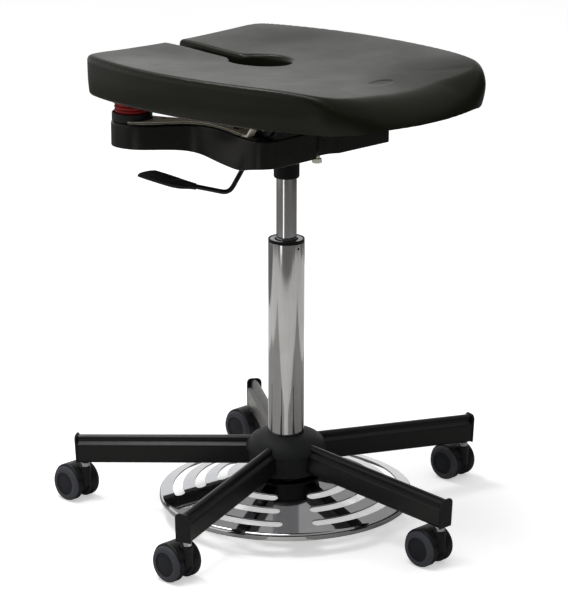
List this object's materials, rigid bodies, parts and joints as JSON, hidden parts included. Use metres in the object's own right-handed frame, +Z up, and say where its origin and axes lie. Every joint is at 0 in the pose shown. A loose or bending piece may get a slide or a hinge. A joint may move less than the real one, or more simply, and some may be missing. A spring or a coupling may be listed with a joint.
{
  "type": "perch stool",
  "caption": "Low perch stool with a slotted foam seat that tilts on rubber springs, a gas-spring column raised with a foot disc, and a star base on twin-wheel casters.",
  "frame": {"origin": "on the floor, at the middle of the footprint; the column's axis stands 10.5 mm behind it", "axes": "+Z up, the seat's front faces -Y, the sitter's right hand is at -X"},
  "size_m": [0.5972, 0.579, 0.653],
  "materials": {
    "black_foam": "matte black moulded foam with a skin, fine grain",
    "black_plastic": "black moulded plastic, satin",
    "grey_plastic": "dark grey moulded plastic, matte",
    "black_coat": "black powder coat, satin",
    "grey_tyre": "dark grey soft tread",
    "chrome": "polished chrome plate",
    "steel": "plain drawn steel",
    "zinc": "bright zinc plate on pressed steel",
    "red_rubber": "red moulded rubber, matte",
    "plywood": "bare plywood"
  },
  "bodies": {
    "base": {"base_arm_1": "black_coat", "base_arm_2": "black_coat", "base_arm_3": "black_coat", "base_arm_4": "black_coat", "base_arm_5": "black_coat", "arm_end_cap_1": "black_plastic", "arm_end_cap_2": "black_plastic", "arm_end_cap_3": "black_plastic", "arm_end_cap_4": "black_plastic", "arm_end_cap_5": "black_plastic", "hub_cover": "grey_plastic", "hub_core": "steel", "column_tube": "chrome", "column_guide_bush": "black_plastic", "thrust_bearing": "steel", "foot_disc_guide": "steel", "foot_disc_spring": "steel", "caster_1_stem": "steel", "caster_2_stem": "steel", "caster_3_stem": "steel", "caster_4_stem": "steel", "caster_5_stem": "steel"},
    "disc": {"foot_disc": "chrome"},
    "rod": {"piston_rod": "steel", "rod_clip": "steel"},
    "lift": {"pressure_tube": "chrome", "pressure_tube_collar": "black_plastic", "mechanism_body": "black_coat", "mechanism_plate": "zinc", "pivot_pin": "steel", "tension_adjuster": "zinc", "spring_cup_right": "black_plastic", "spring_cup_left": "black_plastic", "rubber_spring_right": "red_rubber", "rubber_spring_left": "red_rubber"},
    "seat": {"seat_cushion": "black_foam", "seat_board": "plywood", "seat_bracket": "black_coat"},
    "tilt_lever": {"tilt_lever_wire": "black_coat", "tilt_lever_paddle": "black_plastic"},
    "caster_1": {"caster_1_housing": "black_plastic"},
    "caster_2": {"caster_2_housing": "black_plastic"},
    "caster_3": {"caster_3_housing": "black_plastic"},
    "caster_4": {"caster_4_housing": "black_plastic"},
    "caster_5": {"caster_5_housing": "black_plastic"},
    "wheels_1": {"caster_1_axle": "steel", "caster_1_wheel_right": "grey_tyre", "caster_1_wheel_left": "grey_tyre"},
    "wheels_2": {"caster_2_axle": "steel", "caster_2_wheel_right": "grey_tyre", "caster_2_wheel_left": "grey_tyre"},
    "wheels_3": {"caster_3_axle": "steel", "caster_3_wheel_right": "grey_tyre", "caster_3_wheel_left": "grey_tyre"},
    "wheels_4": {"caster_4_axle": "steel", "caster_4_wheel_right": "grey_tyre", "caster_4_wheel_left": "grey_tyre"},
    "wheels_5": {"caster_5_axle": "steel", "caster_5_wheel_right": "grey_tyre", "caster_5_wheel_left": "grey_tyre"}
  },
  "joints": [
    {"name": "swivel", "type": "hinge", "parent": "base", "child": "rod", "pos_m": [0, 0.01053, 0.3], "axis": [0, 0, 1], "continuous": true},
    {"name": "height", "type": "slide", "parent": "rod", "child": "lift", "axis": [0, 0, 1], "range_m": [-0.08, 0.12]},
    {"name": "seat_tilt", "type": "hinge", "parent": "lift", "child": "seat", "pos_m": [0, -0.04747, 0.578], "axis": [1, 0, 0], "range_deg": [-3, 6], "stiffness_Nm_per_rad": 400, "springref_deg": 0.46, "deforming": ["rubber_spring_right", "rubber_spring_left"]},
    {"name": "tilt_lever_turn", "type": "hinge", "parent": "lift", "child": "tilt_lever", "pos_m": [-0.0423, 0.01983, 0.541], "axis": [0.4274, 0.9041, 0], "range_deg": [0, 6], "stiffness_Nm_per_rad": 2, "springref_deg": -8.59},
    {"name": "foot_disc_press", "type": "slide", "parent": "base", "child": "disc", "axis": [0, 0, 1], "range_m": [-0.008, 0], "stiffness_N_per_m": 2000, "springref_m": 0.01, "deforming": ["foot_disc_spring"]},
    {"name": "caster_1_swivel", "type": "hinge", "parent": "base", "child": "caster_1", "pos_m": [0, -0.27667, 0.04], "axis": [0, 0, 1], "continuous": true},
    {"name": "caster_2_swivel", "type": "hinge", "parent": "base", "child": "caster_2", "pos_m": [0.27314, -0.07822, 0.04], "axis": [0, 0, 1], "continuous": true},
    {"name": "caster_3_swivel", "type": "hinge", "parent": "base", "child": "caster_3", "pos_m": [0.16881, 0.24287, 0.04], "axis": [0, 0, 1], "continuous": true},
    {"name": "caster_4_swivel", "type": "hinge", "parent": "base", "child": "caster_4", "pos_m": [-0.16881, 0.24287, 0.04], "axis": [0, 0, 1], "continuous": true},
    {"name": "caster_5_swivel", "type": "hinge", "parent": "base", "child": "caster_5", "pos_m": [-0.27314, -0.07822, 0.04], "axis": [0, 0, 1], "continuous": true},
    {"name": "wheels_1_roll", "type": "hinge", "parent": "caster_1", "child": "wheels_1", "pos_m": [0, -0.25767, 0.025], "axis": [1, 0, 0], "continuous": true},
    {"name": "wheels_2_roll", "type": "hinge", "parent": "caster_2", "child": "wheels_2", "pos_m": [0.27314, -0.05922, 0.025], "axis": [1, 0, 0], "continuous": true},
    {"name": "wheels_3_roll", "type": "hinge", "parent": "caster_3", "child": "wheels_3", "pos_m": [0.16881, 0.26187, 0.025], "axis": [1, 0, 0], "continuous": true},
    {"name": "wheels_4_roll", "type": "hinge", "parent": "caster_4", "child": "wheels_4", "pos_m": [-0.16881, 0.26187, 0.025], "axis": [1, 0, 0], "continuous": true},
    {"name": "wheels_5_roll", "type": "hinge", "parent": "caster_5", "child": "wheels_5", "pos_m": [-0.27314, -0.05922, 0.025], "axis": [1, 0, 0], "continuous": true}
  ]
}
